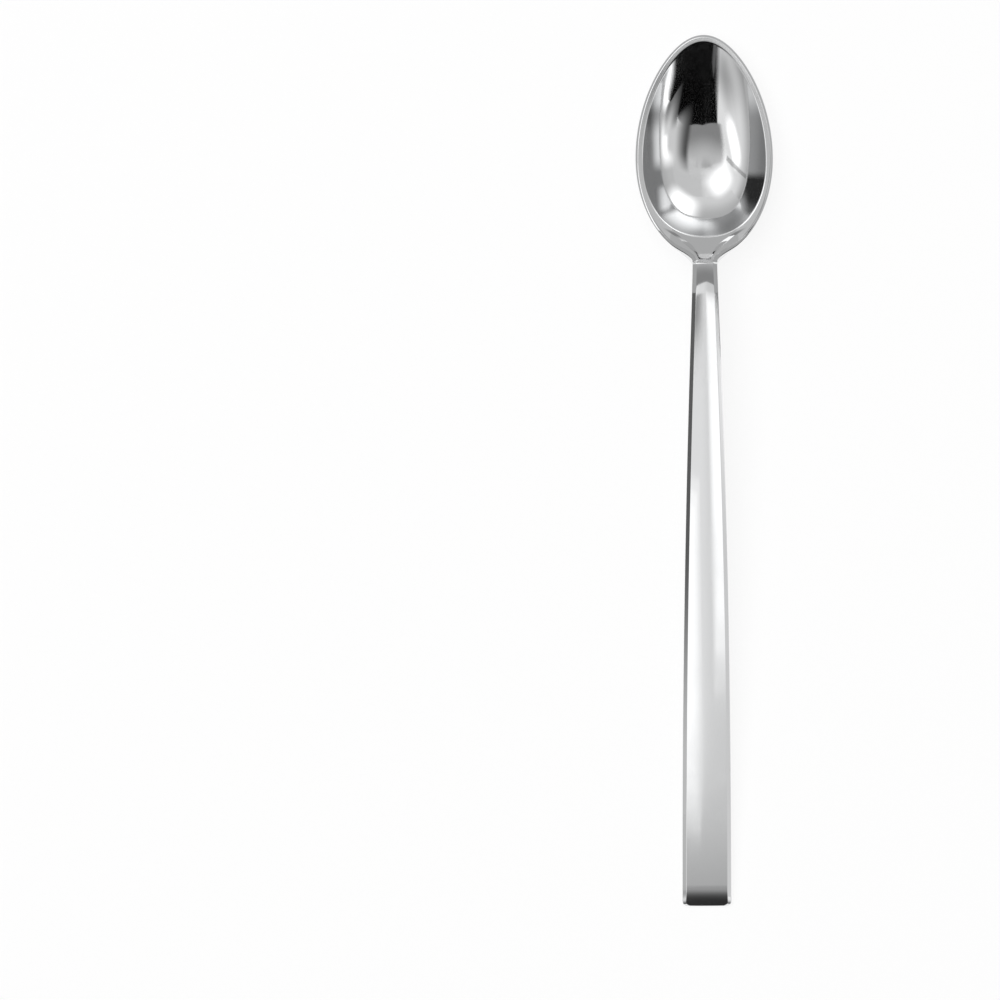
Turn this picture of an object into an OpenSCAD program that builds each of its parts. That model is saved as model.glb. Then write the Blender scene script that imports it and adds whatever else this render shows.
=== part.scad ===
// Iced tea spoon: a small deep bowl on a long tapered flat handle, lying bowl up.
// The bowl ends in a root with a square tang, which is brazed into a blind socket
// in the handle's neck. +Y runs from the handle's end to the tip of the bowl, X goes
// across, +Z is up, and the spoon rests on Z = 0 with the middle of its length at Y = 0.

/* [Bowl] */
// Length of the bowl, from its tip to the joint at the neck
bowl_len = 49.5; // [47:0.5:53]
// Width of the bowl over its rim
bowl_w = 30; // [27:0.5:33]
// Distance of the widest place from the tip
bowl_widest = 27; // [25:0.5:28]
// Depth of the hollow below the rim
bowl_depth = 7.7; // [6:0.1:9]
// Distance of the deepest place from the tip
bowl_deepest = 29; // [26:0.5:31]
// Wall at the bottom of the bowl
bowl_wall = 1.2; // [0.8:0.1:1.8]
// Width of the rim between the hollow and the outer edge
rim_w = 1.5; // [1:0.1:1.8]
// Thickness of the rim at its outer edge
rim_t = 0.9; // [0.7:0.1:1.4]
// Width of the rim's bevelled outer edge
rim_bevel_w = 0.55; // [0.3:0.05:0.7]
// Height of that bevel
rim_bevel_h = 0.3; // [0.1:0.05:0.4]

/* [Tongue] */
// Length of the solid root, from the hollow to the joint
root_len = 5.4; // [4.5:0.1:7]
// Length of the flare that leads the outline of the bowl into the neck
flare_len = 3.5; // [2.5:0.1:4.5]
// Width of the tongue's rounded end beside the joint
tongue_w = 2.8; // [2:0.1:3.4]
// Width between the points that the tongue's curved edges bend towards
tongue_bend_w = 4.8; // [3.4:0.1:6]
// Distance of those points from the joint
tongue_bend_at = 4.6; // [3.5:0.1:5.2]
// Distance of the tongue's end from the joint
tongue_gap = 0.5; // [0.3:0.1:1]
// Length of the rounding at the tongue's end
tongue_end_round = 0.7; // [0.2:0.1:1.2]
// Height of the tongue above the neck
tongue_rise = 0.2; // [0.05:0.05:0.4]
// Depth of the groove round the tongue
groove_depth = 0.2; // [0.05:0.05:0.3]
// Roundness of the corner between the belly and the heel under the root
heel_round = 4; // [2:0.5:6]

/* [Handle] */
// Length of the handle, from the joint to its end
handle_len = 140.5; // [120:0.5:160]
// Width at the neck
neck_w = 5.4; // [5:0.1:6.5]
// Thickness at the neck
neck_t = 4.2; // [3.8:0.1:5]
// Width at the end
end_w = 10.7; // [8:0.1:13]
// Thickness at the end
end_t = 2.8; // [2.2:0.1:3.6]
// Length over which the narrow neck begins to widen
neck_ease = 3; // [1:0.5:6]
// Width of the bevels along the two upper edges
bevel_w = 0.85; // [0.4:0.05:1.2]
// Height of those bevels
bevel_h = 0.55; // [0.3:0.05:0.9]
// Chamfer of the two lower edges
under_edge = 0.35; // [0.1:0.05:0.6]
// Rise of the crowned upper face over its edges
crown = 0.12; // [0:0.02:0.2]
// Length over which the end rolls over
end_roll = 3.6; // [2:0.1:5]
// Thickness that is left at the end face
end_face_t = 1.5; // [1:0.1:1.8]
// Radius of the end's corners, seen from above
end_corner = 1; // [0.4:0.1:1.6]
// Length of the flat land on which the end rests
land_len = 3; // [2:0.5:5]

/* [Side view] */
// Angle at which the neck climbs away from the bowl
neck_angle = 14; // [8:1:18]
// Distance over which the handle keeps the neck's direction
neck_reach = 26; // [18:1:36]
// Angle at which the handle comes down to its end
tail_angle = 9; // [6:0.5:12]
// Distance over which the handle keeps the end's direction
tail_reach = 62; // [45:1:75]

/* [Brazed joint] */
// Length of the tang on the bowl
tang_len = 8; // [5:0.5:11]
// Width of the tang
tang_w = 2.6; // [2:0.1:3]
// Thickness of the tang
tang_h = 2; // [1.5:0.1:2.2]
// Thickness of the filler metal all round the tang and between the butted faces
braze_gap = 0.15; // [0.1:0.05:0.2]
// Depth of the fillerless groove that shows as a line round the neck
braze_groove = 0.08; // [0.02:0.02:0.14]

/* [Hidden] */

steel = [0.78, 0.79, 0.8];
filler = [0.62, 0.61, 0.58];

// How far cutting bodies overrun what they cut
overrun = 5;
// How deep the tang is rooted in the bowl
tang_root = 1.5;

// Shape numbers without a unit
egg_share = 0.13;
hollow_power = 2.25;
wall_power = 2.3;
stretch_power = 5;
taper_power = 2.1;
// Places on the way from the widest place of the bowl to the middle of the joint: where
// the tongue's edges leave the rim, where the root begins, and the neck's corner
tongue_start_share = 0.6;
root_start_share = 0.7;
corner_share = 0.92;
// Places of the lip on the way over the rim's flat top, of the groove on the way from the
// lip to the crease, and of the crease on the way from the tongue's end to the joint
lip_share = 0.6;
groove_share = 0.35;
end_crease_share = 0.75;
// Depth of the groove behind the tongue's end, as a share of its depth beside the tongue
end_groove_share = 0.4;
// How far the points along each side are drawn towards both ends
drawn_share = 0.35;
// Part of the flare over which the outline's direction is measured
nearby_share = 0.05;

// Counts of points: along each side of the bowl, over half the neck's section, on the way
// from the deepest place to the rim, along the handle, and round its rolled end
side_steps = 48;
neck_steps = 5;
hollow_steps = 12;
belly_steps = 12;
spine_steps = 44;
roll_steps = 6;
lean_steps = 6;

total_len = bowl_len + handle_len;
tip_y = total_len / 2;
joint_y = tip_y - bowl_len;
end_y = -total_len / 2;
hollow_end = bowl_len - root_len;
// The outer outline's rear half is an ellipse that the flare leaves before its end
rear_reach = bowl_len - bowl_widest - flare_len / 4;
flare_start = bowl_len - flare_len;
neck_turn = 90 + 90 * corner_share;

function mix(a, b, share) = a + (b - a) * share;
function clamped(share) = max(0, min(1, share));
function eased(share) = let (c = clamped(share)) c * c * (3 - 2 * c);

// Outline of the bowl. Turns run from 0 at the tip, over 90 at the widest place, to 180 at
// the middle of the neck. A place is [x, distance from the tip].
function rear_share(turn) = max(0, (turn - 90) / 90);
function egg(turn) = sin(turn) * (1 - egg_share * cos(turn) * cos(turn));
function hollow_place(turn) =
    let (half = bowl_w / 2 - rim_w)
    turn <= 90
    ? [half * egg(turn), bowl_widest - (bowl_widest - rim_w) * cos(turn)]
    : [
        half * pow(max(0, sin(turn)), 2 / hollow_power),
        bowl_widest + (hollow_end - bowl_widest) * pow(-cos(turn), 2 / hollow_power)
    ];

function ellipse_half(s) =
    bowl_w / 2 * sqrt(max(0, 1 - pow((s - bowl_widest) / rear_reach, 2)));
function ellipse_slope(s) =
    -pow(bowl_w / 2 / rear_reach, 2) * (s - bowl_widest) / ellipse_half(s);
function rear_half(s) =
    let (
        q = clamped((s - flare_start) / flare_len),
        start = ellipse_half(flare_start),
        slope = ellipse_slope(flare_start) * flare_len
    )
    s < flare_start
    ? ellipse_half(s)
    : start * (2 * q * q * q - 3 * q * q + 1) + slope * (q * q * q - 2 * q * q + q)
        + neck_w / 2 * (3 * q * q - 2 * q * q * q);

// The rear outline keeps step with the hollow's, so that the lines between them cross the
// rim squarely, and reaches the joint at the neck's corner
function rear_stretch(turn) =
    let (
        near = (bowl_w / 2) / (bowl_w / 2 - rim_w) - rim_w / bowl_w,
        last = (bowl_len - bowl_widest) / (hollow_place(neck_turn)[1] - bowl_widest)
    )
    mix(near, last, pow(rear_share(turn) / corner_share, stretch_power));
function outer_place(turn) =
    let (s = bowl_widest + (hollow_place(turn)[1] - bowl_widest) * rear_stretch(turn))
    turn <= 90
    ? [bowl_w / 2 * egg(turn), bowl_widest * (1 - cos(turn))]
    : turn < neck_turn
    ? [rear_half(s), s]
    : [neck_w / 2, bowl_len];

// Height of the rim's plane over its own height at the tip. It ends at the neck's slope.
function rim_rise(s) = tan(neck_angle) * s * s / (2 * bowl_len);

// Section of the neck and handle, as [x, height over the middle], for half its width.
// Step 0 is the corner at the side, 1 is the inner edge of the bevel or chamfer, and the
// last step is in the middle.
function step_share(step) = 1 - max(0, step - 1) / (neck_steps - 1);
function upper_place(step, w, t) =
    let (half = w / 2 - bevel_w, share = step_share(step))
    step == 0
    ? [w / 2, t / 2 - bevel_h]
    : [half * share, t / 2 - crown * share * share];
function lower_place(step, w, t) =
    step == 0
    ? [w / 2, under_edge - t / 2]
    : [(w / 2 - under_edge) * step_share(step), -t / 2];

// How far the sections lean back at the neck, as a share of the neck's angle
function root_share(turn) =
    eased((rear_share(turn) - root_start_share) / (corner_share - root_start_share));

// Rings of the bowl, as [x, y, z] with the tip of the rim at height 0
function on_spoon(place, z) = [place[0], tip_y - place[1], z];
function leaned(point, h, angle) = point + [0, h * sin(angle), h * cos(angle)];
function joint_point(place) =
    leaned(
        [place[0], joint_y, rim_rise(bowl_len)],
        place[1] - neck_t / 2,
        neck_angle
    );

function hollow_point(turn, share) =
    let (
        edge = hollow_place(turn),
        place = [edge[0] * share, mix(bowl_deepest, edge[1], share)]
    )
    on_spoon(place, rim_rise(place[1]) - bowl_depth * (1 - pow(share, wall_power)));

// The crease between the rim's flat top and its outer bevel. At the rear it runs on beside
// the outline and becomes the crease of the neck's bevel.
function rim_crease(turn) =
    let (
        inner = hollow_place(turn),
        outer = outer_place(turn),
        nearby = nearby_share * flare_len,
        slope = (outer[0] - rear_half(outer[1] - nearby)) / nearby,
        bevel = mix(rim_bevel_w, bevel_w, root_share(turn))
    )
    turn <= 90
    ? mix(inner, outer, 1 - rim_bevel_w / rim_w)
    : outer + bevel * [-1, slope] / norm([-1, slope]);

// The lip runs on the rim's flat top. At the rear it leaves the rim and closes in on the
// neck, as the edge of the tongue, with a groove outside it.
function rim_lip(turn) = mix(hollow_place(turn), rim_crease(turn), lip_share);
function tongue_way(turn) =
    (rear_share(turn) - tongue_start_share) / (corner_share - tongue_start_share);
function tongue_edge(turn) =
    let (
        q = tongue_way(turn),
        start = rim_lip(90 + 90 * tongue_start_share),
        bend = [tongue_bend_w / 2, bowl_len - tongue_bend_at],
        end = [tongue_w / 2, bowl_len - tongue_gap - tongue_end_round]
    )
    (1 - q) * (1 - q) * start + 2 * q * (1 - q) * bend + q * q * end;
function lip_place(turn, step) =
    let (side = 1 - step / neck_steps)
    step >= 0
    ? [
        tongue_w / 2 * side,
        bowl_len - tongue_gap - tongue_end_round * (1 - sqrt(1 - side * side))
    ]
    : tongue_way(turn) > 0
    ? tongue_edge(turn)
    : rim_lip(turn);
function crease_place(turn, step) =
    step < 0
    ? rim_crease(turn)
    : mix(
        lip_place(turn, step),
        [(neck_w / 2 - bevel_w) * step_share(step), bowl_len],
        end_crease_share
    );
function lip_point(turn, step) =
    let (place = lip_place(turn, step))
    on_spoon(place, rim_rise(place[1]) + tongue_rise * eased(tongue_way(turn)));
function groove_point(turn, step) =
    let (
        place = mix(lip_place(turn, step), crease_place(turn, step), groove_share),
        share = mix(1, end_groove_share, max(0, step) / neck_steps)
    )
    on_spoon(place, rim_rise(place[1]) - groove_depth * share * eased(tongue_way(turn)));
function crease_point(turn, step) =
    let (
        place = crease_place(turn, step),
        across = place[0] / (neck_w / 2 - bevel_w),
        sink = crown * min(1, across * across) * root_share(turn)
    )
    on_spoon(place, rim_rise(place[1]) - sink);

function upper_edge_point(turn, step) =
    let (outer = outer_place(turn), drop = mix(rim_bevel_h, bevel_h, root_share(turn)))
    step < 0
    ? on_spoon(outer, rim_rise(outer[1]) - drop)
    : joint_point(upper_place(step, neck_w, neck_t));
function lower_edge_point(turn, step) =
    let (outer = outer_place(turn), root = root_share(turn))
    step < 0
    ? leaned(
        on_spoon(outer, rim_rise(outer[1])),
        -mix(rim_t, neck_t - under_edge, root),
        neck_angle * root
    )
    : joint_point(lower_place(step, neck_w, neck_t));

// The belly's walls run down to its lowest point. At the rear they meet the neck's
// underside, which carries on into the bowl as a heel, with a rounded corner between.
belly_low = rim_rise(bowl_deepest) - bowl_depth - bowl_wall;
function blended_min(a, b, radius) =
    let (share = clamped(0.5 + 0.5 * (b - a) / radius))
    mix(b, a, share) - radius * share * (1 - share);
function belly_point(turn, step, share) =
    let (
        edge = lower_edge_point(turn, step),
        inner = hollow_place(turn),
        low_y = tip_y - bowl_deepest,
        y = mix(low_y, edge[1], share),
        root = step < 0 ? root_share(turn) : 1,
        wall_reach = norm([inner[0], inner[1] - bowl_deepest]) + rim_w,
        reach = max(1, norm([edge[0], edge[1] - low_y]) / wall_reach),
        wall_end = tip_y - mix(low_y, edge[1], 1 / reach),
        top = rim_rise(wall_end) - rim_t,
        wall = mix(belly_low, top, pow(share * reach, wall_power)),
        heel = edge[2] + tan(neck_angle * root) * (edge[1] - y)
    )
    [
        edge[0] * share,
        y,
        share == 1 ? edge[2] : blended_min(wall, heel, heel_round * (1 - share * share))
    ];

// Every ring has the same points: up the +X side from the tip to the neck, and back. Each
// entry is [side, turn, step], and the step is -1 short of the neck's corner.
right_stops = concat(
    [
        for (i = [0:side_steps - 1])
            let (way = i / side_steps)
            [neck_turn * mix(way, eased(way), drawn_share), -1]
    ],
    [for (j = [0:neck_steps]) [mix(neck_turn, 180, j / neck_steps), j]]
);
stop_count = len(right_stops);
stops = concat(
    [for (stop = right_stops) [1, stop[0], stop[1]]],
    [for (i = [stop_count - 2:-1:1]) [-1, right_stops[i][0], right_stops[i][1]]]
);
function mirrored(side, p) = [side * p[0], p[1], p[2]];

hollow_rings = [
    for (k = [1:hollow_steps])
        [for (stop = stops) mirrored(stop[0], hollow_point(stop[1], k / hollow_steps))]
];
lip_ring = [for (stop = stops) mirrored(stop[0], lip_point(stop[1], stop[2]))];
groove_ring = [for (stop = stops) mirrored(stop[0], groove_point(stop[1], stop[2]))];
crease_ring = [for (stop = stops) mirrored(stop[0], crease_point(stop[1], stop[2]))];
upper_ring = [for (stop = stops) mirrored(stop[0], upper_edge_point(stop[1], stop[2]))];
belly_rings = [
    for (k = [belly_steps:-1:1])
        [for (stop = stops) mirrored(stop[0], belly_point(stop[1], stop[2], k / belly_steps))]
];
rim_rings = [lip_ring, groove_ring, crease_ring, upper_ring];
bowl_rings = concat(hollow_rings, rim_rings, belly_rings);

// The bowl stands on its lowest point
belly_points = [for (ring = belly_rings) for (point = ring) point[2]];
rim_tip_z = -min(concat(belly_points, [belly_low]));

// The middle of the joint's section
joint_place = joint_point([0, 0]) + [0, 0, rim_tip_z];

// Faces between rings that all hold the same number of points, closed by a point or a
// flat face at each end
function ring_faces(rings, count) = [
    for (k = [0:rings - 2]) for (i = [0:count - 1])
        let (
            next = (i + 1) % count,
            a = k * count + i,
            b = k * count + next,
            c = a + count,
            d = b + count
        )
        each i < count / 2 ? [[a, b, d], [a, d, c]] : [[a, b, c], [b, d, c]]
];
function fan_faces(first, count, top) = [
    for (i = [0:count - 1])
        let (next = (i + 1) % count)
        [top, first + next, first + i]
];
function turned(faces) = [for (face = faces) [for (i = [len(face) - 1:-1:0]) face[i]]];

module bowl_body() {
    count = len(stops);
    points = [for (ring = bowl_rings) for (point = ring) point];
    last = len(points);
    closed = concat(
        points,
        [on_spoon([0, bowl_deepest], rim_rise(bowl_deepest) - bowl_depth)],
        [on_spoon([0, bowl_deepest], belly_low)]
    );
    faces = concat(
        fan_faces(0, count, last),
        ring_faces(len(bowl_rings), count),
        turned(fan_faces(last - count, count, last + 1))
    );
    translate([0, 0, rim_tip_z])
        polyhedron(points = closed, faces = turned(faces), convexity = 6);
}

// Places its children in the joint's frame: -Y points along the tang into the handle
module at_joint() {
    translate(joint_place)
        rotate([-neck_angle, 0, 0])
            children();
}

module tang(gap, from_y) {
    w = tang_w + 2 * gap;
    h = tang_h + 2 * gap;
    to_y = -(tang_len + gap);
    translate([-w / 2, to_y, -h / 2])
        cube([w, from_y - to_y, h]);
}

module bowl() {
    color(steel)
        union() {
            bowl_body();
            at_joint() tang(0, tang_root);
        }
}

// Handle: sections along a curve in side view, which leaves the joint at the neck's angle
// and comes down to the table at the tail's angle
function along(angle, reach) = [reach * cos(angle), reach * sin(angle)];
handle_start = [
    joint_place[1] - braze_gap * cos(neck_angle),
    joint_place[2] + braze_gap * sin(neck_angle)
];
// The land is cut where the underside, still sloping, would run below the table
end_place = [end_y, end_t / 2 - land_len * tan(tail_angle)];
roll_start = end_place + along(tail_angle, end_roll);
neck_pull = handle_start + [-neck_reach * cos(neck_angle), neck_reach * sin(neck_angle)];
tail_pull = roll_start + along(tail_angle, tail_reach);
function curve_place(q) =
    pow(1 - q, 3) * handle_start + 3 * pow(1 - q, 2) * q * neck_pull
        + 3 * (1 - q) * q * q * tail_pull + q * q * q * roll_start;

// Size of the section at a distance from the joint
function eased_way(way) = sqrt(way * way + neck_ease * neck_ease) - neck_ease;
function handle_w(way) =
    let (left = 1 - clamped(eased_way(way) / eased_way(handle_len)))
    mix(neck_w, end_w, 1 - pow(left, taper_power));
function handle_t(way) = mix(neck_t, end_t, clamped(way / handle_len));

function handle_section(w, t) = concat(
    [lower_place(1, w, t), lower_place(0, w, t)],
    [for (j = [0:neck_steps]) upper_place(j, w, t)],
    [for (j = [neck_steps - 1:-1:0]) mirrored_place(upper_place(j, w, t))],
    [mirrored_place(lower_place(0, w, t)), mirrored_place(lower_place(1, w, t))]
);
function mirrored_place(place) = [-place[0], place[1]];

// One ring of the handle at a place [y, z] of its curve. It leans with the joint at the
// neck and is upright further on. The squash lowers its upper side towards the underside.
function handle_ring(place, lean, squash, narrowing) =
    let (
        way = joint_y - place[0],
        w = handle_w(way) - 2 * narrowing,
        t = handle_t(way)
    )
    [
        for (p = handle_section(w, t))
            leaned(
                [p[0], place[0], place[1]],
                (p[1] + t / 2) * squash - t / 2,
                lean
            )
    ];

handle_rings = concat(
    [
        for (i = [0:spine_steps - 1])
            handle_ring(
                curve_place(i / spine_steps),
                neck_angle * (1 - eased(i / lean_steps)),
                1,
                0
            )
    ],
    [
        for (k = [0:roll_steps])
            let (
                angle = 90 * k / roll_steps,
                setback = end_roll * (1 - sin(angle)),
                over = max(0, end_corner - setback),
                squash = mix(1, end_face_t / end_t, sin(angle) * sin(angle))
            )
            handle_ring(
                end_place + along(tail_angle, setback),
                0,
                squash,
                end_corner - sqrt(end_corner * end_corner - over * over)
            )
    ]
);

module handle_body() {
    count = len(handle_rings[0]);
    points = [for (ring = handle_rings) for (point = ring) point];
    last = len(points) - count;
    faces = concat(
        [[for (i = [count - 1:-1:0]) i]],
        ring_faces(len(handle_rings), count),
        [[for (i = [0:count - 1]) last + i]]
    );
    polyhedron(points = points, faces = turned(faces), convexity = 6);
}

module handle() {
    color(steel)
        difference() {
            handle_body();
            at_joint() tang(braze_gap, overrun);
            translate([-end_w, end_y - overrun, -overrun])
                cube([2 * end_w, handle_len, overrun]);
        }
}

// Filler metal: a sleeve round the tang and a film between the two butted faces
module braze_joint() {
    color(filler)
        at_joint()
            difference() {
                union() {
                    tang(braze_gap, 0);
                    rotate([90, 0, 0])
                        linear_extrude(braze_gap)
                            offset(delta = -braze_groove)
                                polygon(handle_section(neck_w, neck_t));
                }
                tang(0, overrun);
            }
}

bowl();
handle();
braze_joint();
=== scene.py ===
import math

import bpy
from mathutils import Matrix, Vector, geometry


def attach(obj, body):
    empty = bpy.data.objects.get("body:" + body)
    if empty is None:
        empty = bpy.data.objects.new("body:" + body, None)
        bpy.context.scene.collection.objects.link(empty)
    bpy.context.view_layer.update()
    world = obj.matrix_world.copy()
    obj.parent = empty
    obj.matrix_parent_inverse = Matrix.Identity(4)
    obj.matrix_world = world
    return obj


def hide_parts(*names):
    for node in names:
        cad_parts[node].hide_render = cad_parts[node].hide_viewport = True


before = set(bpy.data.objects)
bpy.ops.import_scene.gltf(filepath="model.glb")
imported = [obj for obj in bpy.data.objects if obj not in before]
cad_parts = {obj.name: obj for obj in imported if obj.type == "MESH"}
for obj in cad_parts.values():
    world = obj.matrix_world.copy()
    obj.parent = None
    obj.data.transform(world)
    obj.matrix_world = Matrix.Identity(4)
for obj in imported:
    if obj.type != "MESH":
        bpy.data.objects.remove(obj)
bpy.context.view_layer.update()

MM = 0.001

# Sizes of the spoon in millimetres and degrees, the same as in the CAD model
BOWL_LEN = 49.5
BOWL_W = 30.0
BOWL_WIDEST = 27.0
BOWL_DEPTH = 7.7
BOWL_DEEPEST = 29.0
BOWL_WALL = 1.2
RIM_W = 1.5
RIM_T = 0.9
RIM_BEVEL_W = 0.55
RIM_BEVEL_H = 0.3
ROOT_LEN = 5.4
FLARE_LEN = 3.5
TONGUE_W = 2.8
TONGUE_BEND_W = 4.8
TONGUE_BEND_AT = 4.6
TONGUE_GAP = 0.5
TONGUE_END_ROUND = 0.7
TONGUE_RISE = 0.2
GROOVE_DEPTH = 0.2
HEEL_ROUND = 4.0
HANDLE_LEN = 140.5
NECK_W = 5.4
NECK_T = 4.2
END_W = 10.7
END_T = 2.8
NECK_EASE = 3.0
BEVEL_W = 0.85
BEVEL_H = 0.55
UNDER_EDGE = 0.35
CROWN = 0.12
END_ROLL = 3.6
END_FACE_T = 1.5
END_CORNER = 1.0
LAND_LEN = 3.0
NECK_ANGLE = 14.0
NECK_REACH = 26.0
TAIL_ANGLE = 9.0
TAIL_REACH = 62.0
TANG_LEN = 8.0
TANG_W = 2.6
TANG_H = 2.0
TANG_ROOT = 1.5
BRAZE_GAP = 0.15

# Shape numbers without a unit
EGG_SHARE = 0.13
HOLLOW_POWER = 2.25
WALL_POWER = 2.3
STRETCH_POWER = 5.0
TAPER_POWER = 2.1
TONGUE_START_SHARE = 0.6
ROOT_START_SHARE = 0.7
CORNER_SHARE = 0.92
LIP_SHARE = 0.6
GROOVE_SHARE = 0.35
END_CREASE_SHARE = 0.75
END_GROOVE_SHARE = 0.4
DRAWN_SHARE = 0.35
NEARBY_SHARE = 0.05

# The handle's sections lean like the neck at first. They stand upright after 6 of the CAD
# model's 44 steps along the curve.
LEAN_STEPS = 6
CAD_SPINE_STEPS = 44
LEAN_SHARE = LEAN_STEPS / CAD_SPINE_STEPS

TIP_Y = (BOWL_LEN + HANDLE_LEN) / 2
JOINT_Y = TIP_Y - BOWL_LEN
END_Y = -TIP_Y
HOLLOW_END = BOWL_LEN - ROOT_LEN
REAR_REACH = BOWL_LEN - BOWL_WIDEST - FLARE_LEN / 4
FLARE_START = BOWL_LEN - FLARE_LEN
NECK_TURN = 90 + 90 * CORNER_SHARE

# Radii of the small roundings along the edges, round the bowl and at the neck
HOLLOW_EDGE_ROUND = 0.3
LIP_ROUND = 0.12
GROOVE_ROUND = 0.15
CREASE_ROUND = 0.2
NECK_CREASE_ROUND = 0.12
UPPER_EDGE_ROUND = 0.22
NECK_UPPER_EDGE_ROUND = 0.06
LOWER_EDGE_ROUND = 0.3
NECK_LOWER_EDGE_ROUND = 0.12
HANDLE_UNDER_ROUND = 0.25
HANDLE_SIDE_ROUND = 0.12
HANDLE_BEVEL_ROUND = 0.1

# How much of a side a rounding may take, and how much further out its neighbours lie
ROUND_REACH_SHARE = 0.3
BESIDE_ROUND_SHARE = 1.5

# The handle's first rings: how far each is set back, and its size as a share of the section
START_RINGS = ((0, 0.974), (0.02, 0.99), (0.07, 1.0))
# Points across the handle's underside, as shares of its half width
UNDER_PLACES = (-0.6, -0.2, 0.2, 0.6)
# How far the block that cuts the socket stands out of the neck
SOCKET_MOUTH = 5

# Counts of points. The polished faces are laid finely, so that reflections run smoothly.
SIDE_STEPS = 150
NECK_STEPS = 10
HOLLOW_STEPS = 30
BELLY_STEPS = 24
CORNER_STEPS = 4
SPINE_STEPS = 170
ROLL_STEPS = 18
CROWN_STEPS = 12


def mix(a, b, share):
    """From a at share 0 to b at share 1."""
    return a + (b - a) * share


def clamped(share):
    return max(0.0, min(1.0, share))


def eased(share):
    """The share with a soft start and a soft stop."""
    c = clamped(share)
    return c * c * (3 - 2 * c)


def sine(angle):
    return math.sin(math.radians(angle))


def cosine(angle):
    return math.cos(math.radians(angle))


def tangent(angle):
    return math.tan(math.radians(angle))


# Outline of the bowl by turn: 0 at the tip, 90 at the widest place, 180 at the middle of
# the joint. A place is (x, distance from the tip).
def rear_share(turn):
    """0 at the widest place and before it, 1 at the middle of the joint."""
    return max(0.0, (turn - 90) / 90)


def egg(turn):
    """The half width before the widest place, as a share, narrowed toward the tip."""
    return sine(turn) * (1 - EGG_SHARE * cosine(turn) ** 2)


def hollow_place(turn):
    """The edge of the hollow."""
    half = BOWL_W / 2 - RIM_W
    if turn <= 90:
        return (half * egg(turn), BOWL_WIDEST - (BOWL_WIDEST - RIM_W) * cosine(turn))
    return (
        half * max(0.0, sine(turn)) ** (2 / HOLLOW_POWER),
        BOWL_WIDEST + (HOLLOW_END - BOWL_WIDEST) * (-cosine(turn)) ** (2 / HOLLOW_POWER),
    )


def ellipse_half(s):
    """Half the width of the ellipse behind the widest place."""
    return BOWL_W / 2 * math.sqrt(max(0.0, 1 - ((s - BOWL_WIDEST) / REAR_REACH) ** 2))


def rear_half(s):
    """Half the width there, which leaves the ellipse in a cubic curve for the neck."""
    if s < FLARE_START:
        return ellipse_half(s)
    q = clamped((s - FLARE_START) / FLARE_LEN)
    start = ellipse_half(FLARE_START)
    slope = -((BOWL_W / 2 / REAR_REACH) ** 2) * (FLARE_START - BOWL_WIDEST) / start * FLARE_LEN
    return (
        start * (2 * q**3 - 3 * q * q + 1)
        + slope * (q**3 - 2 * q * q + q)
        + NECK_W / 2 * (3 * q * q - 2 * q**3)
    )


def rear_stretch(turn):
    """How much further back the outer edge lies than the edge of the hollow."""
    near = (BOWL_W / 2) / (BOWL_W / 2 - RIM_W) - RIM_W / BOWL_W
    last = (BOWL_LEN - BOWL_WIDEST) / (hollow_place(NECK_TURN)[1] - BOWL_WIDEST)
    return mix(near, last, (rear_share(turn) / CORNER_SHARE) ** STRETCH_POWER)


def outer_place(turn):
    """The outer edge of the rim, and then the side of the neck."""
    if turn <= 90:
        return (BOWL_W / 2 * egg(turn), BOWL_WIDEST * (1 - cosine(turn)))
    if turn < NECK_TURN:
        s = BOWL_WIDEST + (hollow_place(turn)[1] - BOWL_WIDEST) * rear_stretch(turn)
        return (rear_half(s), s)
    return (NECK_W / 2, BOWL_LEN)


def rim_rise(s):
    """How far the rim has risen at a distance from the tip."""
    return tangent(NECK_ANGLE) * s * s / (2 * BOWL_LEN)


def on_spoon(place, z):
    return Vector((place[0], TIP_Y - place[1], z))


def leaned(point, h, angle):
    """The point moved by h square to a piece that leans by the angle."""
    return point + Vector((0, h * sine(angle), h * cosine(angle)))


def root_share(turn):
    """0 where the root starts, 1 where the rim has become the neck."""
    return eased((rear_share(turn) - ROOT_START_SHARE) / (CORNER_SHARE - ROOT_START_SHARE))


# Half of the neck's section, from the corner at the side, step 0, to the middle
def step_share(step, steps):
    return 1 - max(0, step - 1) / (steps - 1)


def upper_place(step, steps, w, t):
    if step == 0:
        return (w / 2, t / 2 - BEVEL_H)
    share = step_share(step, steps)
    return ((w / 2 - BEVEL_W) * share, t / 2 - CROWN * share * share)


def lower_place(step, steps, w, t):
    if step == 0:
        return (w / 2, UNDER_EDGE - t / 2)
    return ((w / 2 - UNDER_EDGE) * step_share(step, steps), -t / 2)


def joint_point(place):
    """A place of the neck's section, set on the joint."""
    middle = Vector((place[0], JOINT_Y, rim_rise(BOWL_LEN)))
    return leaned(middle, place[1] - NECK_T / 2, NECK_ANGLE)


def hollow_point(turn, share):
    """A point of the hollow, from its lowest point to its edge."""
    edge = hollow_place(turn)
    place = (edge[0] * share, mix(BOWL_DEEPEST, edge[1], share))
    return on_spoon(place, rim_rise(place[1]) - BOWL_DEPTH * (1 - share**WALL_POWER))


def rim_crease(turn):
    """The line where the rim's flat top meets its bevel."""
    inner, outer = Vector(hollow_place(turn)), Vector(outer_place(turn))
    if turn <= 90:
        return inner.lerp(outer, 1 - RIM_BEVEL_W / RIM_W)
    nearby = NEARBY_SHARE * FLARE_LEN
    slope = (outer.x - rear_half(outer.y - nearby)) / nearby
    bevel = mix(RIM_BEVEL_W, BEVEL_W, root_share(turn))
    return outer + Vector((-1, slope)).normalized() * bevel


def rim_lip(turn):
    """The fine lip along the rim."""
    return Vector(hollow_place(turn)).lerp(rim_crease(turn), LIP_SHARE)


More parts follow.
